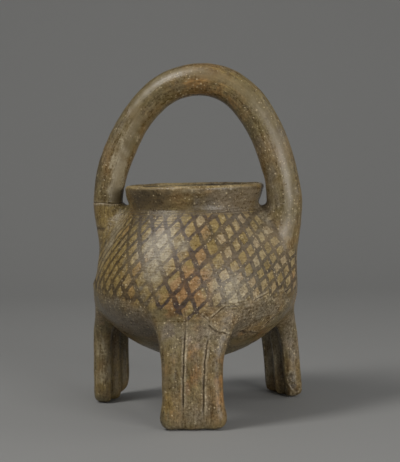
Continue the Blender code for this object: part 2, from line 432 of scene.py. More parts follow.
def handlePath(turn):
    # Centre line in the handle's own plane: an ellipse about the spring height, its sides
    # a little flatter above, leaning to the right at the top
    h = handle
    right, up = np.cos(turn), np.sin(turn)
    onLeft, above = right < 0, np.maximum(up, 0)
    flatter = 1 - h["flatness"] * (2 * above * right) ** 2
    across = h["span"] * right * flatter + h["lean"] * above * above
    height = h["spring"] + handleRise() * up
    side = np.where(onLeft, h["thickLeft"], h["thickRight"])
    thick = side + (h["thickTop"] - side) * up
    thick = thick + np.where(onLeft, h["leftSwell"][0], 0) * bump(height, *h["leftSwell"][1:])
    for size, middle, length in h["leftNudges"]:
        across = across + np.where(onLeft, size, 0) * bump(height, middle, length)
    bulge = np.where(onLeft, 0, h["rightBulge"][0]) * bump(height, *h["rightBulge"][1:])
    leftIn, rightIn = [size * smoothStep(-height, -high, -low) for size, high, low in h["waists"]]
    across = across + h["bulgeShift"] * bulge + np.where(onLeft, leftIn, -rightIn)
    # The upper right is thicker, on its inner side
    fuller = np.where(onLeft, 0, 2 * above * right) * smoothStep(height, *h["fullerFrom"]) * h["rightFuller"]
    across = across - h["fullerShift"] * fuller * right
    height = height - h["fullerShift"] * fuller * above + h["leftHump"][0] * bump(turn, *h["leftHump"][1:])
    return across, height, thick + bulge + fuller


def handleWay(turn, nudge=0.001):
    # A place on the path, and the way it runs on from there
    (a, z, _), (a2, z2, _) = handlePath(turn), handlePath(turn + nudge)
    return a, z, (a2 - a) / nudge, (z2 - z) / nudge


def handleEnds():
    overrun = math.asin((handle["spring"] - handle["root"]) / handleRise())
    return -overrun, math.pi + overrun


def handleDistance(points):
    # Nearest place on the path by five steps along it, then the way to the round skin
    (across, square), height = intoPlane(points, handle["turn"]), points[:, 2]
    low, high = handleEnds()
    aside = (across - handle["lean"] / 2) / handle["span"]
    turn = np.arctan2((height - handle["spring"]) / handleRise(), aside)
    turn = np.where(turn < -math.pi / 2, turn + 2 * math.pi, turn)
    turn = np.clip(turn, low, high)
    for _ in range(5):
        a, z, da, dz = handleWay(turn)
        turn = np.clip(turn + ((across - a) * da + (height - z) * dz) / (da * da + dz * dz), low, high)
    a, z, thick = handlePath(turn)
    away = np.sqrt((across - a) ** 2 + (height - z) ** 2 + square ** 2)
    return away - thick / 2, turn


def legReach(leg, height):
    # How far out the middle of a leg stands, drawn in upwards
    root = smoothStep(height, legs["rootStart"], legs["top"])
    return leg["foot"] - leg["lean"] * (height / legs["top"]) ** legs["leanCurve"] - leg["tuck"] * root


def legDistance(points, leg):
    # Three rolls side by side: a flat bar with round ends, hollowed between the rolls,
    # wider at the foot and the root, its sole's edges and corners rounded
    g = legs
    (out, across), height = intoPlane(points, leg["turn"]), points[:, 2]
    onLeft = across < 0
    flare = leg["flare"] * (1 - smoothStep(height, 0, g["flareHeight"])) + np.where(onLeft, *leg["wider"])
    flare = flare + np.where(onLeft, *leg["rootFlare"]) * smoothStep(height, g["flareStart"], g["top"])
    half = g["rollPitch"] + g["rollRadius"]
    u, v = across * half / (half + flare), out - legReach(leg, np.maximum(height, 0))
    bar = np.hypot(np.maximum(np.abs(u) - g["rollPitch"], 0), v) - g["rollRadius"]
    valley = np.abs(np.abs(u) - g["rollPitch"] / 2) / (g["rollPitch"] / 2)
    ripple = np.where(valley < 1, (1 - valley) ** 2 * (1 + 2 * valley), 0)
    outer = smoothStep(v, -g["rollRadius"], g["rollRadius"])
    bar = bar + ripple * (g["valleyInner"] + (g["valleyOuter"] - g["valleyInner"]) * outer)
    corner = np.where(u < 0, *leg["corners"])
    overSide, overSole = np.maximum(np.abs(u) - half + corner, 0), np.maximum(corner - height, 0)
    sole = np.hypot(overSide, overSole) - corner
    return cutOff(cutOff(bar, sole, g["soleRounding"]), height - g["top"], g["topRounding"])


def clayDistance(points):
    # Signed distance to the whole vase: wall, handle and legs melted together, less the hollow
    b, h = bowl, handle
    height = points[:, 2]
    radius = np.hypot(*intoPlane(points, 0))
    rise = smoothStep(height, b["neck"], b["rim"])
    radius = radius - b["rimLean"] * rise * np.maximum(points[:, 0] / np.maximum(radius, 0.01), 0)
    clay = wallField.at(radius, height)
    sideways = intoPlane(points, h["turn"])[0] / np.maximum(radius, 0.01)
    left, right = [smoothStep(side * sideways, *b["swellSides"]) for side in (-1, 1)]
    swell = b["swell"][0] * left + b["swell"][1] * right
    clay = clay - swell * bump(height, b["swellHeight"], b["swellLength"])
    onRight = smoothStep(points[:, 0], -h["sidesMeet"], h["sidesMeet"])
    low, high, blend = [left + (right - left) * onRight for left, right in h["joins"]]
    blend = blend + (h["joinAtRim"] - blend) * smoothStep(height, low, high)
    clay = melt(clay, handleDistance(points)[0], blend)
    for leg in legs["each"]:
        clay = melt(clay, legDistance(points, leg), leg["blend"])
    return np.maximum(clay, -cavityField.at(radius, height))


def gradient(field, points, nudge=0.0002):
    slopes = []
    for axis in range(3):
        shift = np.zeros(3)
        shift[axis] = nudge
        slopes.append((field(points + shift) - field(points - shift)) / (2 * nudge))
    return np.stack(slopes, 1)


def ontoSurface(field, points, rounds, longest=0.0015):
    # Newton steps down the slope of the distance
    for _ in range(rounds):
        slope = gradient(field, points)
        step = (field(points) / np.maximum((slope ** 2).sum(1), 0.25))[:, None] * slope
        length = np.linalg.norm(step, axis=1)[:, None]
        points = points - step * np.minimum(1, longest / np.maximum(length, 1e-9))
    return points


# Rough pieces as grids: rows of points carried round or along

def gridObject(name, grid, weld=1e-6):
    # The grid's columns close into rings, its first and last row are capped
    rows, columns = grid.shape[:2]
    index = np.arange(rows * columns).reshape(rows, columns)
    after = np.roll(index, -1, axis=1)
    quads = np.stack([index[:-1], after[:-1], after[1:], index[1:]], -1).reshape(-1, 4)
    faces = quads.tolist() + [index[0, ::-1].tolist(), index[-1].tolist()]
    mesh = bpy.data.meshes.new(name)
    mesh.from_pydata(grid.reshape(-1, 3).tolist(), [], faces)
    shape = bmesh.new()
    shape.from_mesh(mesh)
    bmesh.ops.remove_doubles(shape, verts=shape.verts, dist=weld)
    bmesh.ops.recalc_face_normals(shape, faces=shape.faces)
    shape.to_mesh(mesh)
    shape.free()
    return placed(name, mesh)


def circle(count):
    return np.linspace(0, 2 * math.pi, count, endpoint=False)[None, :]


def turnedGrid(half, count=160):
    # A half outline of (radius, height) carried round the bowl's axis
    angle, radius = circle(count), half[:, 0:1]
    return fromPlane(radius * np.cos(angle), radius * np.sin(angle), half[:, 1:2], 0)


def handleGrid(count=90, around=40, thinner=0.0015):
    # A circle carried along the handle's path, a little thin to stay off the rim
    low, high = handleEnds()
    across, height, thick = handlePath(np.linspace(high, low, count))
    along = unit(np.stack([np.gradient(across), np.gradient(height)], 1))
    angle = circle(around)
    radius = thick[:, None] / 2 - thinner
    a = across[:, None] - along[:, 1:2] * radius * np.cos(angle)
    z = height[:, None] + along[:, 0:1] * radius * np.cos(angle)
    return fromPlane(a, radius * np.sin(angle), z, handle["turn"])


def legGrid(leg, count=40, around=48):
    # The bar's outline as a ring, carried up the leg
    g = legs
    height = np.linspace(0, g["top"], count)[:, None]
    root = smoothStep(height, g["rootStart"], g["top"])
    wide = 1 + g["roughFlare"] * root / (g["rollPitch"] + g["rollRadius"])
    angle = circle(around)
    u = (g["rollPitch"] * np.sign(np.cos(angle)) + g["rollRadius"] * np.cos(angle)) * wide
    v = legReach(leg, height) + g["rollRadius"] * np.sin(angle)
    return fromPlane(v, u, height, leg["turn"])


def roughVase(voxel):
    # The filled bowl with its handle and legs, then the hollow taken out, as one even mesh
    filled = np.concatenate([outside, [(outside[-1, 0], bowl["rim"]), (0, bowl["rim"])]])
    body = gridObject("rough_bowl", turnedGrid(filled))
    helpers = [(gridObject("rough_handle", handleGrid()), "UNION")]
    helpers += [(gridObject(f"rough_leg_{i}", legGrid(leg)), "UNION") for i, leg in enumerate(legs["each"])]
    helpers += [(gridObject("rough_hollow", turnedGrid(cavityHalf)), "DIFFERENCE")]
    for helper, operation in helpers:
        joining = body.modifiers.new(helper.name, "BOOLEAN")
        joining.operation = operation
        joining.solver = "MANIFOLD"
        joining.object = helper
    even = body.modifiers.new("even", "REMESH")
    even.mode = "VOXEL"
    even.voxel_size = voxel
    graph = bpy.context.evaluated_depsgraph_get()
    mesh = bpy.data.meshes.new_from_object(body.evaluated_get(graph))
    for made in (body, *[helper for helper, _ in helpers]):
        bpy.data.objects.remove(made)
    return mesh


def meshPoints(mesh):
    points = np.empty(len(mesh.vertices) * 3, np.float32)
    mesh.vertices.foreach_get("co", points)
    return points.reshape(-1, 3).astype(float)


def setPoints(mesh, points):
    mesh.vertices.foreach_set("co", points.astype(np.float32).ravel())
    mesh.update()


def edgeEnds(mesh):
    ends = np.empty(len(mesh.edges) * 2, np.int32)
    mesh.edges.foreach_get("vertices", ends)
    return ends[0::2], ends[1::2]


def evened(mesh, points, rounds):
    # Each point moves halfway to the middle of its neighbours
    first, second = edgeEnds(mesh)
    count = len(points)
    ties = np.maximum(np.bincount(first, minlength=count) + np.bincount(second, minlength=count), 1)
    for _ in range(rounds):
        sums = np.stack([
            np.bincount(first, points[second, k], count) + np.bincount(second, points[first, k], count)
            for k in range(3)
        ], 1)
        points = 0.5 * points + 0.5 * sums / ties[:, None]
    return points


# Cuts, cracks and chips, in millimetres. Their lines are laid onto the clay

scars = {
    "step": 0.0015,
    "lineReach": 0.005,
    "wander": [(0.00018, 0.006, 5)],
    # The share of a line over which its ends fade, unless they meet this closely
    "taper": 0.12,
    "closed": 0.004,
    # Cracks between these depths are broken
    "broken": (0.12, 0.30),
    # Raised edges stand outside the cut, by a share of its half width and more. The (left, right)
    # lengths they fade over, and how high and pale the right one is beside the left
    "edgeOut": (0.0016, 0.0003),
    "edgeLengths": (0.0006, 0.0007),
    "rightRaised": 0.4,
    "rightPale": 0.35,
    "ringReach": 0.010,
    "chipDark": 0.30,
    "lines": [
        # depth, half width, raised edge, dark, pale edge (lengths in mm), points
        (0.85, 0.50, 0.50, 1.0, 1.0, [
            (-7.8, -67.8, 67), (-8.2, -69.5, 58), (-9.0, -71.6, 44.5), (-9.7, -72.1, 28),
            (-10.2, -72.3, 12),
        ]),
        (0.30, 0.50, 0.15, 0.35, 0.3, [(-7.6, -66.0, 79), (-7.6, -66.5, 72), (-7.9, -68.4, 64)]),
        (0.80, 0.46, 0.45, 0.95, 0.9, [
            (6.9, -69.9, 62), (6.2, -71.0, 57), (4.6, -72.3, 45), (3.4, -72.8, 28), (3.0, -73.3, 8),
        ]),
        (0.25, 0.50, 0.12, 0.30, 0.3, [(8.4, -66.0, 75), (7.6, -68.2, 68), (6.8, -70.2, 60)]),
        (0.40, 0.34, 0.20, 0.95, 0.9, [
            (8.6, -67.3, 71.0), (12.3, -66.6, 74.1), (14.8, -65.9, 75.9), (19.5, -64.5, 79.4),
        ]),
        (0.22, 0.35, 0.12, 0.75, 0.4, [(21.4, -64.2, 80.0), (28.3, -61.8, 80.5), (34.0, -58.8, 81.0)]),
        (0.38, 0.42, 0.24, 0.85, 1.0, [
            (37.6, -56.4, 80.1), (39.0, -56.0, 81.9), (44.2, -52.1, 83.5), (49.0, -47.6, 85.1),
        ]),
        (0.20, 0.35, 0.10, 0.50, 0.4, [(54.2, -42.2, 84.1), (58.6, -36.3, 84.1), (64.1, -26.3, 84.3)]),
        (0.30, 0.32, 0.18, 0.45, 0.8, [(2.2, -66.1, 74.6), (4.2, -66.2, 72.8), (7.9, -67.6, 69.8)]),
        (0.50, 0.50, 0.22, 1.00, 0.5, [
            (5.8, -67.8, 69.2), (8.0, -68.6, 66.6), (11.0, -69.1, 64.6), (14.6, -68.0, 62.4),
            (18.6, -55.0, 59.4), (22.3, -50.8, 58.6),
        ]),
        (0.50, 1.40, 0.14, 1.00, 0.5, [
            (27.2, -47.9, 58.2), (29.9, -46.9, 59.5), (31.2, -44.1, 57.8), (34.0, -42.0, 57.1),
        ]),
        (0.35, 0.90, 0.14, 0.95, 0.9, [
            (34.4, -42.9, 58.6), (36.0, -41.2, 58.1), (37.6, -37.8, 56.5), (40.4, -36.2, 56.8),
        ]),
        (0.45, 0.80, 0.14, 1.00, 0.6, [
            (42.2, -38.4, 59.5), (46.0, -37.0, 61.3), (48.7, -38.1, 64.3), (54.4, -34.8, 68.0),
        ]),
        (0.28, 0.60, 0.14, 0.95, 0.6, [
            (54.4, -34.8, 68.0), (57.0, -33.1, 70.2), (60.0, -30.0, 74.0), (62.4, -27.0, 78.0),
        ]),
        (0.30, 0.50, 0.10, 0.85, 0.2, [(60.3, -33.2, 82.7), (62.5, -29.9, 84.5), (65.4, -25.0, 85.6)]),
        (0.14, 0.34, 0.05, 0.75, 0.1, [
            (32.4, -38.7, 128.4), (39.8, -39.2, 120.7), (44.3, -40.6, 114.0), (48.0, -42.7, 105.5),
            (54.6, -39.7, 95.3), (55.8, -40.0, 85.6),
        ]),
    ],
    "rings": [
        # depth, half width, raised edge, dark, pale edge, height, from and to angle round the left limb
        (0.40, 0.35, 0.30, 0.6, 0.9, 0.1443, 360, 0),
        (0.12, 1.10, 0.06, 1.00, 0.3, 0.1260, 300, 120),
    ],
    "chips": [
        # place and reach in mm, depth in mm, pale
        (71.5, 17.0, 5.0, 8.5, 0.55, 0.45),
        (-36.6, -26.3, 156.0, 1.8, 0.50, 0.40),
        (-15.0, -43.0, 155.5, 1.6, 0.40, 0.40),
        (7.6, -43.2, 156.0, 2.0, 0.45, 0.50),
        (23.5, -38.5, 155.0, 2.4, 0.60, 0.50),
        (41.0, -20.0, 155.5, 2.0, 0.45, 0.40),
        (20.0, 47.0, 155.5, 3.0, 0.70, 0.40),
        (-17.5, -69.5, 2.5, 3.5, 0.60, 0.40),
        (12.0, -72.0, 1.5, 3.0, 0.50, 0.40),
        (-68.0, 26.0, 2.0, 4.0, 0.60, 0.30),
    ],
}


def ringPoints(height, start, stop):
    # Level arc round the left limb, laid onto the clay later
    turn = np.radians(np.linspace(start, stop, 37))
    reach = scars["ringReach"]
    height = height - 0.0005 * np.cos(turn) + 0.0003 * np.sin(3 * turn)
    return fromPlane(reach * np.cos(turn) - handle["span"], reach * np.sin(turn), height, handle["turn"])


def laidLine(corners):
    # Even steps along a broken line, each put onto the clay
    length = np.concatenate([[0], np.cumsum(np.linalg.norm(np.diff(corners, axis=0), axis=1))])
    spots = np.linspace(0, length[-1], max(int(length[-1] / scars["step"]), 2) + 1)
    line = np.stack([np.interp(spots, length, corners[:, k]) for k in range(3)], 1)
    return ontoSurface(clayDistance, line, 6)


def lineDistance(line, points, normals, reach):
    # Distance, side (-1 or 1) and share along a line, for the points within reach of it
    near = np.flatnonzero(((points > line.min(0) - reach) & (points < line.max(0) + reach)).all(1))
    spots, facing = points[near], normals[near]
    best, side, share = np.full(len(near), farAway), np.ones(len(near)), np.zeros(len(near))
    for i, (start, stop) in enumerate(zip(line[:-1], line[1:])):
        along = stop - start
        t = np.clip((spots - start) @ along / max(along @ along, 1e-12), 0, 1)
        away = spots - start - t[:, None] * along
        distance = np.linalg.norm(away, axis=1)
        nearer = distance < best
        across = (away * np.cross(along, facing)).sum(1)
        best = np.where(nearer, distance, best)
        side = np.where(nearer, np.sign(across), side)
        share = np.where(nearer, (i + t) / (len(line) - 1), share)
    inside = best < reach
    return near[inside], best[inside], side[inside], share[inside]


def awayFrom(points, place):
    # Distance in metres to a place in millimetres
    return np.linalg.norm(points - np.array(place) / 1000, axis=1)


scarLines = [(row[:5], laidLine(np.array(row[5]) / 1000)) for row in scars["lines"]]
scarLines += [(row[:5], laidLine(ringPoints(*row[5:]))) for row in scars["rings"]]
print("scars laid", len(scarLines))


def scarred(points, normals):
    # How deep each point is cut (raised edges negative), how dark and how pale it gets; the pale raised
    # edges are partly a painted highlight
    deep, dark, pale = np.zeros((3, len(points)))
    wander = unevenness(points, scars["wander"])
    for (depth, width, raised, darkness, paleness), line in scarLines:
        near, away, side, share = lineDistance(line, points, normals, scars["lineReach"])
        across = away * side + wander[near]
        taper = smoothStep(share, 0, scars["taper"]) * smoothStep(1 - share, 0, scars["taper"])
        if np.linalg.norm(line[0] - line[-1]) < scars["closed"]:
            taper = 1.0
        cut = bump(across, 0, width * 0.001) * taper
        edge = scars["edgeOut"][0] * width + scars["edgeOut"][1]
        leftEdge, rightEdge = [
            bump(across, way * edge, length) * taper for way, length in zip((-1, 1), scars["edgeLengths"])
        ]
        if scars["broken"][0] < depth < scars["broken"][1]:
            darkness = darkness * smoothStep(hum(points[near], 0.0016, 6), -0.7, 0.5)
        deep[near] += 0.001 * (depth * cut - raised * (leftEdge + scars["rightRaised"] * rightEdge))
        dark[near] = np.maximum(dark[near], darkness * cut)
        # Raised edges paler, one side more than the other: partly a painted highlight
        pale[near] = np.maximum(pale[near], paleness * np.maximum(leftEdge, scars["rightPale"] * rightEdge))
    for *place, reach, depth, paleness in scars["chips"]:
        away = awayFrom(points, place) / (reach / 1000)
        near = smoothStep(1 - away + 0.25 * hum(points, 0.003, 9), 0, 0.5)
        deep += near * depth * 0.001
        pale = np.maximum(pale, 4 * near * (1 - near) * paleness)
        dark = np.maximum(dark, scars["chipDark"] * near)
    return deep, dark, pale


def valleyDistance(points):
    # How far a point is from the nearest valley between two rolls, on any leg's inner side
    nearest = np.full(len(points), farAway)
    low, high, top, aside = legs["innerSide"]
    for leg in legs["each"]:
        out, across = intoPlane(points, leg["turn"])
        away = np.abs(np.abs(across) - legs["rollPitch"] / 2)
        onInner = (out > low) & (out < high) & (points[:, 2] < top) & (np.abs(across) < aside)
        nearest = np.minimum(nearest, np.where(onInner, away, farAway))
    return nearest


skin = {
    "voxel": 0.0018,
    # Reach of cuts, height from which the lip counts, reach of valleys, for each halving
    "halvings": [(0.0036, 0.1500, 0.0020), (0.0022, 0.2000, 0.0000)],
    "lipRadius": 0.053,
    "lipTop": 0.158,
    # Heights over which the skin gets free to move, and how free it is at the floor
    "offFloor": (0.0004, 0.0060),
    "atFloor": 0.25,
    # Size, wave length and seed of each unevenness, and how far all of it sinks
    "uneven": [(0.00022, 0.016, 3), (0.00007, 0.0045, 4)],
    "sunk": 0.00025,
}


def finer(mesh):
    # Edges near cuts, valleys and the lip are halved, so that fine shapes get points
    for reach, lipLow, valleyReach in skin["halvings"]:
        points = meshPoints(mesh)
        wanted = (points[:, 2] > lipLow) & (np.hypot(points[:, 0], points[:, 1]) < skin["lipRadius"])
        wanted &= points[:, 2] < skin["lipTop"]
        wanted |= valleyDistance(points) < valleyReach
        for _, line in scarLines:
            wanted[lineDistance(line, points, points, reach)[0]] = True
        for *place, size, _, _ in scars["chips"]:
            wanted |= awayFrom(points, place) < size / 1000 + reach / 3
        first, second = edgeEnds(mesh)
        chosen = np.flatnonzero(wanted[first] & wanted[second])
        shape = bmesh.new()
        shape.from_mesh(mesh)
        shape.edges.ensure_lookup_table()
        bmesh.ops.subdivide_edges(shape, edges=[shape.edges[i] for i in chosen], cuts=1, use_grid_fill=True)
        shape.to_mesh(mesh)
        shape.free()


mesh = roughVase(skin["voxel"])
print("rough vase", len(mesh.vertices), "points")
points = ontoSurface(clayDistance, meshPoints(mesh), 3)
points = evened(mesh, points, 4)
setPoints(mesh, ontoSurface(clayDistance, points, 2))
finer(mesh)
base = ontoSurface(clayDistance, meshPoints(mesh), 2)
print("shaped vase", len(base), "points, off by", np.abs(clayDistance(base)).max())
normals = unit(gradient(clayDistance, base))
deep, scarDark, scarPale = scarred(base, normals)
free = np.maximum(smoothStep(base[:, 2], *skin["offFloor"]), skin["atFloor"])
uneven = unevenness(base, skin["uneven"]) - skin["sunk"]
setPoints(mesh, base - normals * (deep - uneven)[:, None] * free[:, None])
mesh.shade_smooth()
vase = placed("tripod_vase_clay", mesh)
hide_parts("tripod_vase")
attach(vase, "root")
faceCount = np.empty(len(mesh.polygons), np.int32)
mesh.polygons.foreach_get("loop_total", faceCount)
print("vase has", int((faceCount - 2).sum()), "triangles")


# The painted lattice: two families of lines that cross, counted round the bowl

lattice = {
    "cellsRound": 40,
    "middle": 0.100,
    "rise": 0.050,
    # Shift, climb, bend, then the waves round the bowl: sin, climbing sin, cos, climbing cos,
    # then how lines crowd: size, lines in a wave, where it starts
    "falling": (0.37, 1.81, 0.17, -0.05, -1.15, -1.21, 0.00, -0.16, 10, 1),
    "rising": (0.67, -4.36, -0.33, -1.31, -1.27, 1.67, 1.70, -0.13, 8, 0),
    "top": 0.1375,
    # How far off the bowl the paint runs up the handle's (right, left) end, and over what it fades
    "upHandle": (0.0050, 0.0016),
    "fade": 0.0025,
    # How ragged the paint's edges are on the bowl and on the handle, and how far they fade
    "ragged": [(0.0008, 0.004, 21)],
    "raggedHandle": [(0.0010, 0.005, 22)],
    "lowerFade": (-0.0006, 0.0012),
    "topFade": 0.0010,
    "offHollow": 0.002,
    # (turn in degrees, height in mm) of the lower edge: -90 is the front, 0 the right side
    "lowerEdge": [
        (-180, 84), (-157, 85.5), (-144, 84.3), (-131, 82.9), (-121, 80.3), (-115, 77.9), (-107, 76.8),
        (-99, 74.0), (-94, 70.7), (-88, 75), (-82, 79.7), (-75, 80.6), (-66, 82.5), (0, 82), (180, 84),
    ],
}


def latticeLines(points):
    # (count of falling lines, count of rising lines, how far inside the painted band)
    turn = np.arctan2(points[:, 1] - bowl["axisBack"], points[:, 0])
    t = np.mod(turn + 1.5 * math.pi, 2 * math.pi) - math.pi
    h = (points[:, 2] - lattice["middle"]) / lattice["rise"]
    counts = []
    for family in ("falling", "rising"):
        shift, climb, bend, wave, climbWave, swing, climbSwing, crowd, group, start = lattice[family]
        count = lattice["cellsRound"] * t / (2 * math.pi) + shift + climb * h + bend * h * h
        count += (wave + climbWave * h) * np.sin(t) + (swing + climbSwing * h) * (np.cos(t) - 1)
        counts.append(count + crowd * np.sin(2 * math.pi * (count + start) / group))
    edge = np.array(lattice["lowerEdge"], float)
    low = np.interp(np.degrees(turn), edge[:, 0], edge[:, 1] / 1000)
    ragged = points[:, 2] + unevenness(points, lattice["ragged"])
    band = smoothStep(ragged, *[low + fade for fade in lattice["lowerFade"]])
    band *= 1 - smoothStep(ragged, lattice["top"] - lattice["topFade"], lattice["top"] + lattice["topFade"])
    keep = np.where(intoPlane(points, handle["turn"])[0] > 0, *lattice["upHandle"])
    keep = keep + unevenness(points, lattice["raggedHandle"])
    band *= 1 - smoothStep(wallField.near(points), keep, keep + lattice["fade"])
    band *= cavityField.near(points) > lattice["offHollow"]
    return counts[0], counts[1], band


strokes = {
    "squeeze": 0.14,
    "handleRadius": 0.070,
    # Shifts that keep the handle's and the legs' strokes from matching the bowl's
    "handleShift": 0.3,
    "legShift": 0.2,
    # How far off the bowl's skin, and from what height, the handle's strokes and facet begin
    "offBowl": (0.002, 0.006),
    "handleFrom": 0.095,
    "facetFrom": 0.100,
    # Where a leg's strokes are: outwards from, and how far across
    "legOut": 0.045,
    "legAcross": 0.035,
    # (height, over what they fade) on the leg and where it leaves the bowl
    "legTop": (0.072, 0.012),
    "legFree": (0.068, 0.010),
    # Ways the handle's facet faces, then what is added over the top and at the far left: half-way between
    # the camera and the lamps, so that its painted highlight lies where theirs fall
    "facing": (0.298, -0.947, 0.126),
    "overTop": (-0.583, 0.176, 0.443),
    "farLeft": (0.310, 0.060, 0.0),
    "topHeights": (0.195, 0.215),
    "topEnds": (-0.005, 0.015),
    "leftFrom": (0.030, 0.045),
    "facet": (0.905, 0.985),
    "facetEdge": [(0.015, 0.010, 41)],
}


def grainPlaces(points):
    # Places squeezed along the way each part was burnished: level round the bowl, along the
    # handle, up the legs
    squeeze, height, offBowl = strokes["squeeze"], points[:, 2], wallField.near(points)
    level = np.stack([points[:, 0] * squeeze, (points[:, 1] - bowl["axisBack"]) * squeeze, height], 1)
    _, turn = handleDistance(points)
    a, h, _ = handlePath(turn)
    across, square = intoPlane(points, handle["turn"])
    out = (across - a) * np.cos(turn) + (height - h) * np.sin(turn)
    along = strokes["handleRadius"] * turn * squeeze + strokes["handleShift"]
    share = smoothStep(offBowl, *strokes["offBowl"]) * (height > strokes["handleFrom"])
    grain = level + (np.stack([along, out, square], 1) - level) * share[:, None]
    (top, fade), (root, rootFade) = strokes["legTop"], strokes["legFree"]
    for leg in legs["each"]:
        out, across = intoPlane(points, leg["turn"])
        upright = np.stack([across + strokes["legShift"], out, height * squeeze], 1)
        near = (out > strokes["legOut"]) & (np.abs(across) < strokes["legAcross"])
        share = smoothStep(top - height, 0, fade) * near * smoothStep(root - height + offBowl, 0, rootFade)
        grain = grain + (upright - grain) * share[:, None]
    return grain


def polishAndSheenStripe(points, normals):
    # A stripe along the handle, partly the facet that the burnishing tool left and partly a painted
    # highlight: where the skin faces a given way, once that is turned square to the handle's own
    x, z = points[:, 0], points[:, 2]
    _, turn = handleDistance(points)
    _, _, across, up = handleWay(turn)
    c, s = math.cos(handle["turn"]), math.sin(handle["turn"])
    along = unit(np.stack([across * c, across * s, up], 1))
    front, overTop, farLeft = [np.array(strokes[way]) for way in ("facing", "overTop", "farLeft")]
    top = (smoothStep(z, *strokes["topHeights"]) * (1 - smoothStep(x, *strokes["topEnds"])))[:, None]
    facing = front + top * overTop + smoothStep(-x, *strokes["leftFrom"])[:, None] * farLeft * (1 - top)
    facing = unit(facing - (facing * along).sum(1)[:, None] * along)
    lean = (normals * facing).sum(1) + unevenness(points, strokes["facetEdge"])
    onHandle = smoothStep(wallField.near(points), *strokes["offBowl"]) * (z > strokes["facetFrom"])
    return smoothStep(lean, *strokes["facet"]) * onHandle
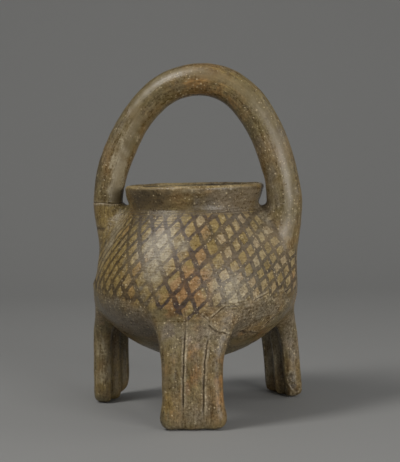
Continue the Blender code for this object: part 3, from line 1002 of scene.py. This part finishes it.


# Clouds from the firing and the burnish, and painted light and shade: place and reach in millimetres,
# strength in hundredths

stainsAndLight = {
    # Fire clouds, and painted shade down the sides of the handle's limbs and at the collar's foot in front,
    # where a highlight is darkened
    "dark": [
        (-38, -22, 146, 16, 55), (-26, -34, 146, 15, 50), (-2, -44, 144, 8, 30), (13, -40, 143, 6, 40),
        (-51, -38, 64, 20, 45), (-62, -20, 70, 20, 40), (-30, -52, 58, 16, 40), (-76, 14, 165, 12, 60),
        (-74, 12, 190, 13, 60), (-64, 6, 213, 12, 40), (-73, 18, 140, 10, 40), (50, -13, 170, 8, 45),
        (47, -12, 190, 9, 45), (38, -12, 207, 8, 35), (-60, 28, 64, 12, 35), (45, -40, 58, 12, 15),
        (20, 60, 90, 35, 50), (-45, 55, 110, 30, 40), (0, 20, 34, 40, 40), (40, 45, 150, 16, 50),
        (28, -5, 238, 9, 35), (8, -3, 241, 7, 30), (-56, 42, 20, 14, 20), (68, 21, 1.5, 6, 80),
        (65, 14, 2, 6, 70), (70, 15, 1, 4, 60), (-61, 24, 46, 4, 50), (-60, 24, 34, 4, 30),
        (6, -68, 62, 6, 20), (-2, -68, 72, 8, 20), (-58, -10, 122, 9, 35), (34, -36, 132, 8, 35),
        (60, -24, 74, 12, 25), (52, -18, 130, 4, 60), (48, -14, 141, 4, 60), (6, -41, 138, 9, 35),
    ],
    "warm": [
        (50, -14, 137, 5, 60), (55, -21, 120, 5, 50), (69, 16, 6, 6, 70), (52, -26, 114, 4, 50),
        (6, -9, 222, 13, 55), (30, -15, 212, 12, 40), (-8, -68, 90, 9, 80), (2, -69, 100, 8, 75),
        (-14, -66, 80, 9, 70), (0, -67, 84, 7, 50), (-18, -68, 40, 6, 45), (17, -68, 45, 5, 35),
        (-17, -70, 12, 8, 40), (0, -73, 40, 5, 40), (10, -44, 152, 9, 45), (66, -22, 92, 7, 60),
        (-66, 12, 60, 8, 35), (68, 20, 40, 7, 45), (-24, -38, 150, 7, 35), (55, 50, 100, 20, 40),
        (-20, 70, 80, 24, 40), (42, -28, 55, 6, 90), (-58, -36, 95, 8, 35), (18, -70, 22, 5, 40),
        (-4, -73, 52, 6, 70), (-3, -73, 33, 5, 60), (15, -71, 33, 5, 90), (15, -71, 20, 5, 60),
        (15, -71, 45, 4, 50), (0, -68, 66, 5, 50), (30, -46, 57, 5, 70), (-13, -71, 25, 5, 40),
    ],
    # Pale clay, and painted light: the sheen on the shoulder's left, the reflection down the left end of the
    # handle, and the sheen on the left limb's inner side
    "pale": [
        (-24, -52, 116, 10, 76), (-26, -59, 102, 9, 72), (-18, -48, 126, 8, 40), (-49, 1, 133, 7, 80),
        (-51, -6, 128, 5, 80), (-53, -8, 122, 5, 85), (-56, -11, 116, 5, 80), (-59, -13, 109, 5, 60),
        (-20, -55, 115, 8, 40), (-27, -58, 104, 8, 40), (-20, -4, 232, 12, 10), (62, -12, 190, 10, 14),
        (63, -12, 165, 9, 14), (18, -72, 30, 5, 30), (20, -64, 90, 8, 55), (26, -61, 84, 8, 45),
        (-53, 4, 174, 6, 95), (-53.5, 5, 164, 6, 95), (-54, 7, 153, 6, 95), (-51, 3, 184, 6, 50),
        (-47, 3, 194, 7, 35), (-43, 2, 204, 7, 25), (-49, 8, 168, 5, 90), (-50, 8, 157, 5, 80),
        (-46, 5, 192, 5, 60), (46, -30, 126, 8, 35), (-8, -46, 154, 8, 50), (6, -46, 154, 8, 45),
        (-22, -42, 154, 7, 35), (30, -36, 153, 8, 35), (44, 60, 130, 15, 30), (69, 16, 12, 4, 60),
        (69, 13, 32, 5, 60), (69, 13, 20, 5, 60), (72, 15, 9, 2.5, 100), (54, 36, 24, 12, 90),
        (54, 34, 44, 10, 80), (58, -22, 114, 5, 60), (48, -20, 128, 4, 60), (-69, 13, 40, 9, 75),
        (-67, 14, 20, 9, 70), (-4, -73, 44, 6, 35), (-3, -74, 24, 8, 25), (-59, 26, 40, 5, 40),
        (58, -8, 128, 8, 30), (14, -68, 66, 8, 30),
    ],
    "ochre": [
        (-62, 6, 134, 11, 90), (-60, -4, 118, 12, 70), (-58, -34, 100, 18, 75), (-45, -48, 105, 14, 50),
        (-64, -18, 92, 14, 70), (-34, -60, 86, 12, 60), (-68, 13, 42, 13, 60), (-66, 14, 14, 12, 70),
        (-58, 27, 26, 9, 60), (-8, -72, 25, 14, 25), (-20, -70, 16, 6, 80), (63, 21, 28, 5, 80),
        (63, 22, 18, 5, 60), (64, 20, 38, 4, 60), (0, -42, 152, 14, 50), (30, -54, 105, 14, 30),
        (58, -36, 96, 14, 50), (20, -12, 226, 18, 50), (-40, -8, 222, 12, 40), (56, -16, 205, 12, 25),
        (62, 18, 10, 10, 50), (10, 70, 110, 25, 50), (-50, 50, 60, 20, 40), (40, -46, 68, 14, 15),
        (0, -60, 62, 12, 30),
    ],
    "rough": [
        (12, -66, 80, 8, 80), (28, -60, 76, 11, 100), (45, -50, 77, 11, 100), (59, -34, 78, 10, 90),
        (35, -52, 66, 12, 80), (22, -60, 69, 10, 80), (52, -38, 69, 11, 80), (46, -12, 134, 8, 60),
        (51, -18, 130, 8, 60), (0, -68, 68, 9, 60), (11, -71, 58, 9, 70), (-11, -70, 55, 8, 50),
        (68, -20, 134, 8, 70), (68, -21, 151, 8, 60), (66, -19, 168, 7, 50), (62, -18, 185, 7, 40),
        (66, 18, 45, 12, 70), (68, 16, 20, 12, 60), (0, -72, 22, 16, 50), (-66, -8, 84, 8, 50),
        (-56, -36, 80, 12, 50), (-40, -52, 76, 10, 50), (40, -14, 200, 10, 50), (10, -5, 238, 14, 15),
        (30, 50, 70, 25, 50), (-40, 50, 80, 20, 40), (-70, 16, 120, 9, 30), (48, -36, 100, 10, 30),
    ],
    "ash": [
        (34, -26, 146, 14, 90), (24, -37, 149, 12, 70), (14, -40, 144, 10, 50), (-58, -35, 74, 14, 80),
        (-44, -45, 68, 14, 70), (-30, -54, 62, 12, 50), (31, -56, 70, 12, 70), (49, -46, 73, 12, 70),
        (67, 17, 40, 12, 70), (64, 18, 58, 12, 80), (66, 17, 24, 8, 40), (-9, -70, 60, 9, 50),
        (8, -71, 62, 9, 60), (50, -15, 138, 8, 70), (54, -21, 121, 7, 40), (-68, 14, 128, 8, 30),
        (54, -16, 170, 12, 50), (52, -16, 186, 11, 50), (40, -12, 205, 10, 30), (54, -18, 152, 10, 40),
        (-50, 3, 200, 10, 30), (20, 60, 70, 30, 50), (-50, 40, 90, 24, 40), (10, -73, 30, 6, 40),
        (-15, -71, 35, 5, 40), (-2, -74, 9, 12, 60), (-72, 10, 45, 7, 60), (-70, 12, 62, 8, 50),
        (22, -56, 66, 8, 50), (60, -20, 68, 10, 50), (13, -72, 52, 4, 60),
    ],
    # Paint worn thin, and lines washed out under the painted highlight on the shoulder's left
    "faded": [
        (8, -48, 130, 6, 60), (8, -54, 121, 7, 70), (9, -62, 108, 7, 70), (8, -66, 93, 7, 70),
        (-19, -55, 116, 9, 45), (-25, -58, 107, 9, 50), (-30, -58, 99, 8, 30), (14, -66, 84, 7, 60),
        (50, -22, 122, 8, 60), (44, -28, 118, 6, 40), (30, 60, 100, 16, 50), (-30, 58, 90, 14, 50),
    ],
}


def cloudMasks(points):
    # Soft round clouds with uneven edges, added up for each kind
    ragged = 1 + 0.30 * hum(points, 0.009, 31) + 0.15 * hum(points, 0.004, 32)
    masks = {}
    for kind, rows in stainsAndLight.items():
        total = np.zeros(len(points))
        for *place, reach, strength in rows:
            away = awayFrom(points, place) * 1000 / reach
            total += strength / 100 * np.exp(-(away * ragged) ** 2 * 0.9)
        masks[kind] = np.clip(total, 0, 1)
    return masks


def addField(name, kind, domain, values):
    made = mesh.attributes.new(name, kind, domain)
    made.data.foreach_set("value" if kind == "FLOAT" else "vector", values.astype(np.float32).ravel())


falling, rising, band = latticeLines(base)
cornerPoint = np.empty(len(mesh.loops), np.int32)
mesh.loops.foreach_get("vertex_index", cornerPoint)
firstCorner = np.repeat(np.cumsum(faceCount) - faceCount, faceCount)
counts = np.stack([falling, rising, band], 1)[cornerPoint]
for column in (0, 1):
    # A face across the seam at the back goes on counting instead of jumping back
    jump = counts[:, column] - counts[firstCorner, column]
    counts[:, column] -= lattice["cellsRound"] * np.round(jump / lattice["cellsRound"])
addField("lattice", "FLOAT_VECTOR", "CORNER", counts)
addField("grain", "FLOAT_VECTOR", "POINT", grainPlaces(base))

# The band of fine level lines under the collar, which reaches lower on the left
neckBand = {
    "low": 0.1362,
    "fadeIn": 0.0010,
    "fadeOut": (0.1392, 0.1412),
    "lower": 0.0080,
    "lowerFrom": (0.004, 0.012),
    "lowerTo": (-0.045, -0.035),
    "offBowl": (0.0015, 0.0035),
}


def neckMark(points):
    n, x, z = neckBand, points[:, 0], points[:, 2]
    low = n["low"] - n["lower"] * smoothStep(-x, *n["lowerFrom"]) * smoothStep(x, *n["lowerTo"])
    mark = smoothStep(z, low, low + n["fadeIn"]) * (1 - smoothStep(z, *n["fadeOut"]))
    return mark * (1 - smoothStep(wallField.near(points), *n["offBowl"]))


innerSide = smoothStep(-cavityField.near(base), -0.0012, -0.0002)
marks = {
    "neck": neckMark(base) * (1 - innerSide),
    # Painted shade: darkening along the valleys between the rolls on the legs' inner sides
    "valley": bump(valleyDistance(base), 0, 0.0015),
    # The burnished stripe along the handle: smoother and glossier, and paler as a painted highlight
    "polish": polishAndSheenStripe(base, normals),
    "scar": scarDark,
    # Pale raised edges of the cuts, partly a painted highlight, and paler chip rims
    "edge": scarPale,
    "inner": innerSide,
}
for name, values in {**cloudMasks(base), **marks}.items():
    addField(name, "FLOAT", "POINT", values)
print("lattice, burnish and clouds set out")

clay = {
    "olive": (0.144, 0.108, 0.043),
    "brown": (0.190, 0.120, 0.046),
    "grey": (0.142, 0.114, 0.066),
    "ash": (0.150, 0.120, 0.080),
    "cloudAndShade": (0.062, 0.040, 0.014),
    "warm": (0.235, 0.118, 0.034),
    "pale": (0.300, 0.248, 0.155),
    "ochre": (0.208, 0.142, 0.042),
    "line": (0.088, 0.066, 0.042),
    "lineLeft": (0.058, 0.034, 0.008),
    "lineDeep": (0.050, 0.034, 0.030),
    "fleck": (0.560, 0.450, 0.270),
    # Paler colour of the handle's stripe: a painted highlight
    "polish": (0.222, 0.180, 0.102),
    "edge": (0.370, 0.300, 0.190),
    "pit": (0.050, 0.031, 0.013),
    "lip": (0.300, 0.220, 0.095),
    "hollow": (0.060, 0.048, 0.033),
    # The lattice's cells by chance, then what they turn to on the right and left and under clouds
    "cells": [
        (0.00, (0.210, 0.150, 0.048)), (0.30, (0.270, 0.190, 0.062)), (0.55, (0.330, 0.245, 0.105)),
        (0.75, (0.270, 0.175, 0.055)), (0.90, (0.310, 0.175, 0.066)), (1.00, (0.370, 0.300, 0.180)),
    ],
    "cellWarm": (0.330, 0.185, 0.078),
    "cellOchre": (0.260, 0.172, 0.048),
    "cellRight": (0.360, 0.300, 0.190),
    "cellLeft": (0.300, 0.205, 0.058),
    "cellPale": (0.350, 0.300, 0.205),
    "cellDark": (0.110, 0.085, 0.045),
    "cellRounding": 0.07,
    "lineHalf": 0.165,
    # Two sizes of pale fleck and one of pit: cells in a metre, shift, and the edge from and to
    "specks": [(400, 0.0, 0.13, 0.32), (620, 0.31, 0.16, 0.40), (480, 0.57, 0.14, 0.36)],
    "rare": 0.88,
    "roughness": 0.31,
}


def claySurface():
    f = Finish("burnished_clay")
    c = clay
    place = f.node("ShaderNodeTexCoord", None, None, 3)
    grain = f.attribute("grain", 1)
    u, v, band = f.parts(f.attribute("lattice", 1))
    dark, warm, pale, ochre, rough, ash, faded = [f.attribute(kind) for kind in stainsAndLight]
    neck, valley, polish, scar, edge, inner = [f.attribute(mark) for mark in marks]
    x, _, height = f.parts(place)

    # Ground: olive and brown clay in broad patches, with burnish strokes, clouds, and painted light and
    # shade
    broad = f.step(f.noise(place, 38, 3, 0.6), 0.36, 0.66)
    patches = f.step(f.noise(f.moved(place, 3, 1, 2), 90, 4, 0.62), 0.42, 0.66)
    strokes = f.noise(grain, 330, 4, 0.6)
    hairs = f.noise(grain, 1100, 3, 0.6)
    fine = f.noise(place, 620, 4, 0.7)
    mottle = f.noise(f.moved(place, 5, 2, 3), 260, 3, 0.6)
    ragged = (strokes - 0.5) * 1.3 + (mottle - 0.5) * 0.6
    ground = f.layers(c["olive"], [
        (broad, c["brown"]),
        (patches * 0.40, c["grey"]),
        (f.step(ochre + ragged, 0.15, 0.85) * 0.85, c["ochre"]),
        (f.step(warm + ragged, 0.20, 0.90) * 0.85, c["warm"]),
        # Painted highlight: the handle's stripe turns paler where the lamps' highlights fall
        (polish * (strokes * 0.6 + 0.05), c["polish"]),
        # Pale clay, and painted light: highlights, a reflection and sheen laid on as paler colour
        (f.step(pale + ragged * 0.6, 0.20, 0.95) * 0.88, c["pale"]),
        # Fire clouds and some painted shade darken the ground
        (f.step(dark + ragged * 0.5, 0.05, 0.95) * 0.88, c["cloudAndShade"]),
        (rough * patches * 0.45, c["grey"]),
        (f.step(ash + ragged * 0.5, 0.10, 0.90) * 0.70, c["ash"]),
    ])

    # Lattice: lines at the halves of each count, cells between them with a tint each
    bendU, bendV, width = f.parts(f.noise(place, 150, 3, out=1))
    u = u + (bendU - 0.5) * 0.30
    v = v + (bendV - 0.5) * 0.30
    around = float(lattice["cellsRound"])
    cellU, cellV = [(count + 0.5).maths("FLOOR").maths("FLOORED_MODULO", around) for count in (u, v)]
    cell = f.node("ShaderNodeCombineXYZ", None, {0: cellU, 1: cellV, 2: 0.37})
    chance = f.node("ShaderNodeTexWhiteNoise", {"noise_dimensions": "3D"}, {"Vector": cell}, 0)
    left = 1 - f.step(x, -0.052, -0.030)
    right = f.step(x, 0.004, 0.020)
    deep = (1 - right) * f.step(x, -0.040, -0.022)
    half = (width - 0.5) * 0.18 + (chance - 0.5) * 0.05 - right * 0.005 - deep * 0.030 + c["lineHalf"]
    shown = (1 - left).maths("MAXIMUM", 1 - f.step(height, 0.088, 0.096))
    # A cell is where both are past the line's half width, its corners rounded
    off = [(count.maths("FRACT") - 0.5).maths("ABSOLUTE") for count in (u, v)]
    overU, overV = [(half + c["cellRounding"] - o).maths("MAXIMUM", 0.0) for o in off]
    overU = overU * (shown * 0.75 + 0.25)
    away = (overU * overU + overV * overV) ** 0.5 - c["cellRounding"]
    line = f.step(away, -0.035, 0.040)
    drawn = (1 - f.step((away + 0.005).maths("ABSOLUTE"), 0.012, 0.050)) * f.step(mottle, 0.44, 0.56)
    tint = f.layers(f.node("ShaderNodeValToRGB", {"stops": c["cells"]}, {"Fac": chance}), [
        (f.step(warm, 0.15, 0.60) * 0.85, c["cellWarm"]),
        (ochre * 0.75, c["cellOchre"]),
        (right * chance * 0.50, c["cellRight"]),
        (left * 0.55, c["cellLeft"]),
        # Cells pale where the pale clouds are, including the painted sheen on the shoulder
        (pale * 0.70, c["cellPale"]),
        (dark * 0.70, c["cellDark"]),
    ])
    brushed = f.step(mottle, 0.36, 0.62)
    worn = f.step(f.noise(f.moved(place, 1, 5, 0), 230, 4, 0.7), 0.36, 0.58)
    spared = f.step(f.noise(f.moved(place, 4, 4, 1), 45, 2), 0.36, 0.60)
    strength = band * line * (worn * 0.30 + 0.65) * (spared * 0.20 + 0.75 + deep * 0.05) * (1 - faded * 0.60)
    paint = f.mix(left, f.mix(deep, c["line"], c["lineDeep"]), c["lineLeft"])
    # Fine level lines above the lattice
    level = ((height * 560.0).maths("FRACT") - 0.5).maths("ABSOLUTE")
    level = (1 - f.step(level, 0.10, 0.26)) * neck * f.step(worn, 0.0, 0.8)
    ground = f.layers(ground, [
        (band * (1 - line) * (brushed * 0.30 + 0.62) * (1 - faded * 0.35), tint),
        (strength, paint),
        (band * drawn * (1 - faded) * (0.65 - deep * 0.30), c["lineLeft"]),
        # Painted highlight: a pale veil over the lattice where the shoulder's sheen falls
        (pale * band * 0.38, c["pale"]),
        (level * 0.80, c["line"]),
    ])

    # Lip, hollow, cuts and valleys
    # The lip's top is lighter and golden: partly a worn edge, partly painted light falling on it from above
    lip = f.step(height + (strokes - 0.5) * 0.002, 0.1538, 0.1552) * (1 - f.step(height, 0.1580, 0.1590))
    away = f.vectors("LENGTH", f.moved(place, 0, -bowl["axisBack"], -0.155), out=1)
    lip = lip * (1 - f.step(away, 0.0498, 0.0506))
    ground = f.layers(ground, [
        (lip * (mottle * 0.9 + 0.1), c["lip"]),
        (inner * (1 - lip) * 0.75, c["hollow"]),
        # Pale cut edges, partly a painted highlight
        (edge * (fine * 0.6 + 0.5), c["edge"]),
        (scar * 0.88, c["pit"]),
        # Painted shade in the valleys between the legs' rolls
        (valley * 0.32, c["pit"]),
    ])

    # Streaks and mottle, then flecks of temper and pits
    shade = (strokes - 0.5) * 1.35 + (hairs - 0.5) * 1.50 + (fine - 0.5) * (rough * 2.40 + 2.50)
    shade = (shade + (mottle - 0.5) * 0.90) * (1 - band * 0.20) * (1 - polish * 0.70) + 1
    shade = shade.maths("MAXIMUM", 0.35)
    # Dark streaks stay brown: the red falls less than the blue
    shades = {0: shade * 0.88 + 0.12, 1: shade, 2: shade * 1.25 - 0.25}
    ground = f.mix(1.0, ground, f.node("ShaderNodeCombineXYZ", None, shades), "MULTIPLY")
    crowd = f.step(f.noise(f.moved(place, 2, 0, 6), 60, 3), 0.40, 0.66)
    torn = f.vectors("MULTIPLY_ADD", f.noise(place, 900, 2, out=1), (0.0014, 0.0014, 0.0014), place)
    specks = []
    for scale, shift, low, high in c["specks"]:
        cells = {"Vector": f.moved(torn, shift, shift * 0.5, shift * 0.3), "Scale": scale}
        away = f.node("ShaderNodeTexVoronoi", None, cells)
        pick, bright, _ = f.parts(f.node("ShaderNodeTexVoronoi", None, cells, 1))
        pick = pick + crowd * 0.12 + rough * 0.14 - polish * 0.08 - dark * 0.05 - ash * 0.03
        chosen = f.step(pick, c["rare"], c["rare"] + 0.05)
        specks.append((1 - f.step(away, low, high)) * chosen * (bright * 0.7 + 0.3))
    fleck = specks[0].maths("MAXIMUM", specks[1])
    pit = specks[2]
    ground = f.layers(ground, [(fleck * 0.85, c["fleck"]), (pit * 0.45, c["pit"])])

    gloss = (strokes - 0.5) * 0.30 + (fine - 0.5) * 0.25 + c["roughness"] + band * line * 0.06 + inner * 0.25
    gloss = gloss + rough * 0.12 + polish * 0.06 + scar * 0.50
    relief = strokes * 0.50 + hairs * 0.25 + fine * 0.90 - pit * 0.8 + fleck * 0.30 - band * line * 0.10
    relief = (relief - level * 0.3) * (1 - polish * 0.70)
    bumps = f.node("ShaderNodeBump", None, {"Strength": 0.6, "Distance": 0.0006, "Height": relief})
    shader = f.node("ShaderNodeBsdfPrincipled", None, {
        "Base Color": ground, "Roughness": gloss, "Specular IOR Level": 0.5, "Normal": bumps,
    })
    f.node("ShaderNodeOutputMaterial", None, {"Surface": shader})
    return f.material


mesh.materials.clear()
mesh.materials.append(claySurface())
print("clay finish made")

# Floor and light. Places in metres, strengths in watts

studio = {
    "floorColour": (0.276, 0.277, 0.273),
    "floorRoughness": 0.7,
    "floorSize": 6.0,
    "wallBack": 0.66,
    "curve": 0.85,
    "wallHigh": 3.2,
    "world": (0.247, 0.248, 0.248),
    "lights": [
        # name, place, width, height, watts
        ("high_left", (-0.74, -0.36, 1.12), 0.34, 0.70, 8.7),
        ("front_right", (0.74, -1.05, 0.31), 0.60, 0.70, 9.6),
        ("right", (1.30, 0.10, 0.90), 0.80, 0.80, 1.9),
    ],
    "lightColour": (1.0, 0.98, 0.95),
    "aim": (0.0, 0.0, 0.11),
}


def makeStudio():
    s = studio
    # A floor that curves up into a back wall: a profile carried sideways
    bend = np.linspace(0, math.pi / 2, 16)
    half, end = s["floorSize"] / 2, s["wallBack"] + s["curve"]
    y = np.concatenate([[-half], s["wallBack"] + s["curve"] * np.sin(bend), [end]])
    z = np.concatenate([[0], s["curve"] * (1 - np.cos(bend)), [s["wallHigh"]]])
    left = np.stack([np.full(len(y), -half), y, z], 1)
    right = left * (-1, 1, 1)
    count = len(y)
    faces = [(i, i + count, i + count + 1, i + 1) for i in range(count - 1)]
    mesh = bpy.data.meshes.new("floor")
    mesh.from_pydata(np.concatenate([left, right]).tolist(), [], faces)
    mesh.shade_smooth()
    floor = placed("floor", mesh)
    paint = Finish("floor_paint")
    looks = {"Base Color": (*s["floorColour"], 1), "Roughness": s["floorRoughness"]}
    shader = paint.node("ShaderNodeBsdfPrincipled", None, looks)
    paint.node("ShaderNodeOutputMaterial", None, {"Surface": shader})
    mesh.materials.append(paint.material)
    for name, place, wide, high, watts in s["lights"]:
        data = bpy.data.lights.new(name, "AREA")
        data.shape = "RECTANGLE"
        data.size = wide
        data.size_y = high
        data.energy = watts
        data.color = s["lightColour"]
        light = placed(name, data)
        light.location = place
        light.rotation_euler = (Vector(s["aim"]) - Vector(place)).to_track_quat("-Z", "Y").to_euler()
    world = bpy.data.worlds.new("studio")
    world.use_nodes = True
    world.node_tree.nodes["Background"].inputs["Color"].default_value = (*s["world"], 1)
    bpy.context.scene.world = world
    bpy.context.scene.view_settings.view_transform = "Standard"


makeStudio()
print("studio lit")
